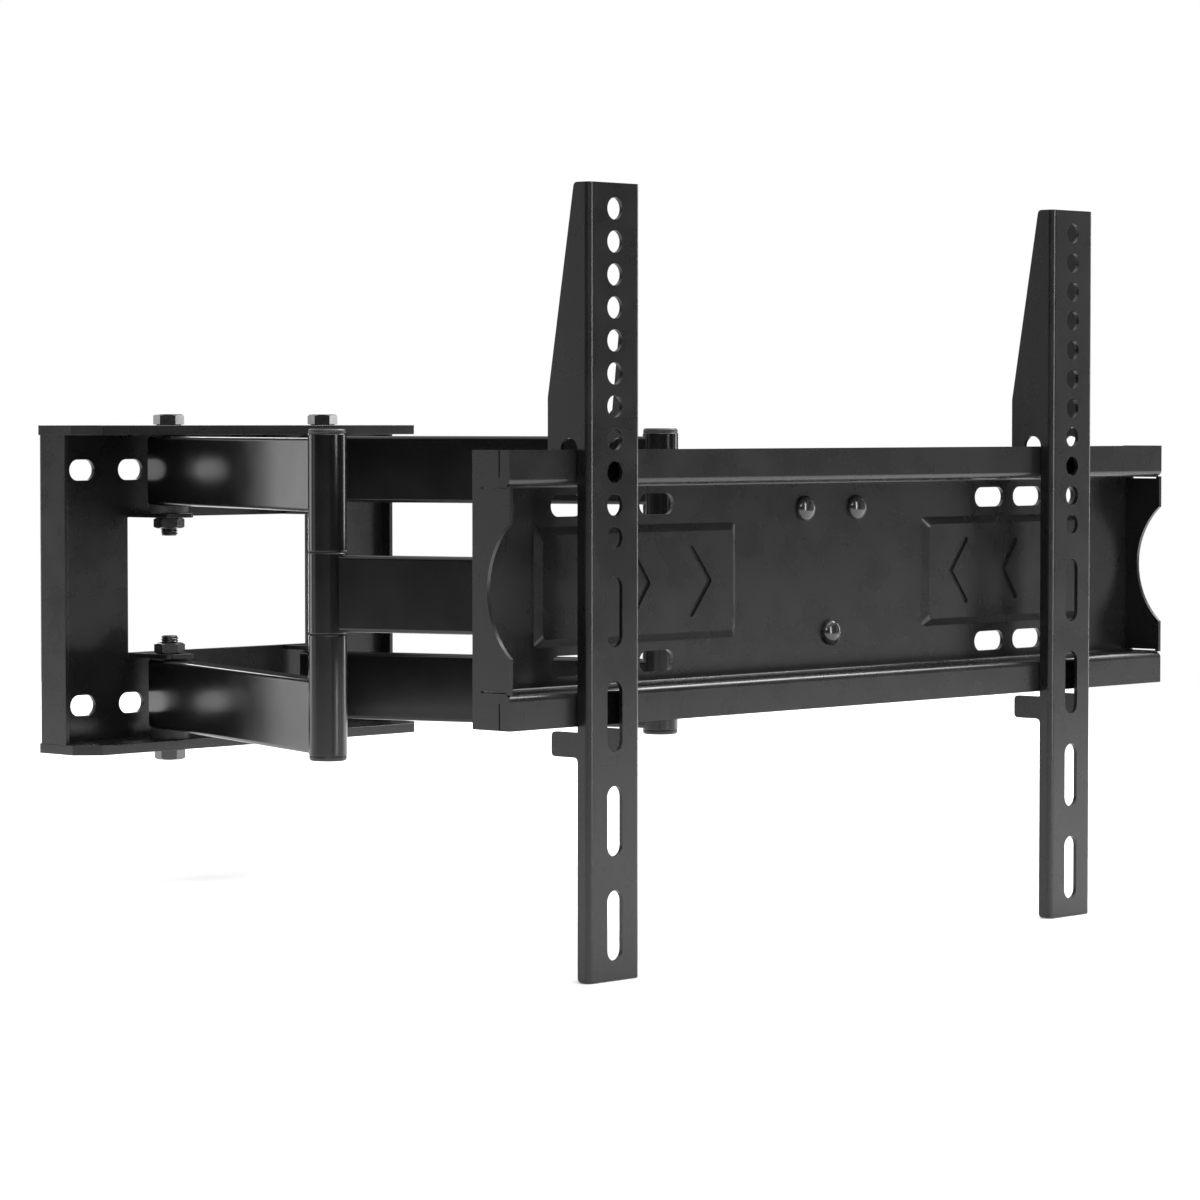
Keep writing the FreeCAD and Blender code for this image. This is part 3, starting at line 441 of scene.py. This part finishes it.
def tilt_screws():
    mesh = bmesh.new()
    tilt = joint_place("tilt")
    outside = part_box("tilt_bolts")[1].x
    shank = outside - M8["head"]
    for side in (-1, 1):
        sideways = Matrix.Rotation(side * math.pi / 2, 4, "Y")
        at_head = Matrix.Translation((side * shank, tilt.y, tilt.z)) @ sideways
        add_cap_screw(mesh, at_head, M8["flats"] / 2, M8["head"])
        before = len(mesh.verts)
        columns(mesh, [circle(M8["radius"], z, THREAD_COLUMNS) for z in (-shank / 2, 0.0)])
        placed(mesh, before, at_head)
    piece("tilt_cap_screws", mesh, "black_fasteners", "swivel_head", ["tilt_bolts"])


def plate_bolts():
    """Smooth domed heads on the television plate's three bolts."""
    mesh = bmesh.new()
    low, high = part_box("tv_plate_bolts")
    radius, skirt, dome = DOME_RADIUS, DOME_SKIRT, DOME_HEIGHT - DOME_SKIRT
    turns = [math.radians(angle) for angle in range(0, 90, 6)]
    profile = [(radius * 0.96, 0.0), (radius, SMALL_EDGE), (radius, skirt)]
    profile += [(radius * math.cos(a), skirt + dome * math.sin(a)) for a in turns[1:]]
    face = low.y + DOME_HEIGHT
    for x, z in ((low.x + radius, high.z - radius), (high.x - radius, high.z - radius),
                 ((low.x + high.x) / 2, low.z + radius)):
        before = len(mesh.verts)
        lathe(mesh, profile, DOME_COLUMNS)
        columns(mesh, [circle(M8["radius"], depth, THREAD_COLUMNS) for depth in (face - high.y, 0.0)])
        placed(mesh, before, Matrix.Translation((x, face, z)) @ Matrix.Rotation(math.pi / 2, 4, "X"))
    piece("tv_plate_dome_bolts", mesh, "black_fasteners", "tv_plate", ["tv_plate_bolts"],
          TURNED_ANGLE)


def elbow_caps(side):
    """Moulded end caps with a rounded shoulder and a shallow dish."""
    mesh = bmesh.new()
    cad = side + "_elbow_caps"
    low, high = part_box(cad)
    place = joint_place(side + "_elbow")
    radius = (high.x - low.x) / 2
    shoulder = [math.radians(angle) for angle in range(0, 91, 10)]
    profile = [(CAP_PLUG_RADIUS, -CAP_PLUG), (CAP_PLUG_RADIUS, 0.0), (radius * 0.985, 0.0),
               (radius, SMALL_EDGE), (radius, CAP_HEIGHT - CAP_SHOULDER)]
    profile += [(radius - CAP_SHOULDER * (1 - math.cos(a)), CAP_HEIGHT - CAP_SHOULDER * (1 - math.sin(a)))
                for a in shoulder[1:]]
    rim = radius - CAP_SHOULDER
    profile += [(rim * 0.86, CAP_HEIGHT), (rim * 0.80, CAP_HEIGHT - CAP_DISH),
                (rim * 0.4, CAP_HEIGHT - CAP_DISH)]
    for z, upside_down in ((high.z - CAP_HEIGHT, False), (low.z + CAP_HEIGHT, True)):
        before = len(mesh.verts)
        lathe(mesh, profile, DOME_COLUMNS)
        placed(mesh, before, standing(place.x, place.y, z, upside_down))
    piece(cad + "_moulded", mesh, "black_plastic", side + "_rear_arm", [cad],
          TURNED_ANGLE)


shoulder_fasteners()
head_fasteners()
tilt_screws()
plate_bolts()
for arm_side in ("left", "right"):
    elbow_caps(arm_side)


# ---- Stage ------------------------------------------------------------------------------------
def make_floor():
    mesh = bmesh.new()
    bmesh.ops.create_circle(mesh, cap_ends=True, radius=FLOOR_RADIUS, segments=96)
    data = bpy.data.meshes.new("floor")
    mesh.to_mesh(data)
    mesh.free()
    floor = bpy.data.objects.new("floor", data)
    floor.location = (0, 0, CAD_LOW.z - FLOOR_CLEARANCE)
    bpy.context.scene.collection.objects.link(floor)
    material = bpy.data.materials.new("pale_floor")
    material.use_nodes = True
    shader = material.node_tree.nodes["Principled BSDF"]
    shader.inputs["Base Color"].default_value = (FLOOR_WHITE, FLOOR_WHITE, FLOOR_WHITE, 1)
    shader.inputs["Roughness"].default_value = 0.9
    shader.inputs["Specular IOR Level"].default_value = 0.1
    data.materials.append(material)


def make_world():
    """Bright above and dim at the sides, so black gloss stays black; the camera sees white."""
    world = bpy.data.worlds.new("studio")
    world.use_nodes = True
    bpy.context.scene.world = world
    tree = world.node_tree
    background = tree.nodes["Background"]
    place = tree.nodes.new("ShaderNodeTexCoord")
    height = tree.nodes.new("ShaderNodeSeparateXYZ")
    tree.links.new(place.outputs["Generated"], height.inputs["Vector"])
    shade = tree.nodes.new("ShaderNodeMapRange")
    shade.interpolation_type = "SMOOTHSTEP"
    shade.inputs["From Min"].default_value = SKY_EDGE[0]
    shade.inputs["From Max"].default_value = SKY_EDGE[1]
    shade.inputs["To Min"].default_value = WALLS
    shade.inputs["To Max"].default_value = SKY
    tree.links.new(height.outputs["Z"], shade.inputs["Value"])
    ray = tree.nodes.new("ShaderNodeLightPath")
    seen = tree.nodes.new("ShaderNodeMath")
    seen.operation = "MAXIMUM"
    tree.links.new(ray.outputs["Is Camera Ray"], seen.inputs[0])
    tree.links.new(shade.outputs["Result"], seen.inputs[1])
    tree.links.new(seen.outputs["Value"], background.inputs["Color"])


def softbox(name, azimuth, elevation, distance, width, height, radiance):
    """An area light that faces the object from one direction, sized and lit by its radiance."""
    around, up = math.radians(azimuth), math.radians(elevation)
    direction = Vector((math.cos(around) * math.cos(up), math.sin(around) * math.cos(up), math.sin(up)))
    place = CENTRE + direction * distance
    light = bpy.data.lights.new(name, "AREA")
    light.shape = "RECTANGLE"
    light.size = width
    light.size_y = height
    light.energy = radiance * math.pi * width * height
    made = bpy.data.objects.new(name, light)
    made.location = place
    made.rotation_euler = (CENTRE - place).to_track_quat("-Z", "Y").to_euler()
    made.visible_camera = False
    bpy.context.scene.collection.objects.link(made)


def make_camera():
    data = bpy.data.cameras.new("camera")
    data.lens = CAMERA_LENS
    data.sensor_width = SENSOR
    data.clip_end = 100
    camera = bpy.data.objects.new("camera", data)
    camera.location = CAMERA_PLACE
    camera.rotation_euler = (math.radians(90 - CAMERA_DOWN), 0, math.radians(-CAMERA_YAW))
    bpy.context.scene.collection.objects.link(camera)
    bpy.context.scene.camera = camera


make_floor()
make_world()
for box_name, box_setup in SOFTBOXES.items():
    softbox(box_name, *box_setup)
make_camera()
bpy.context.scene.view_settings.view_transform = "Standard"
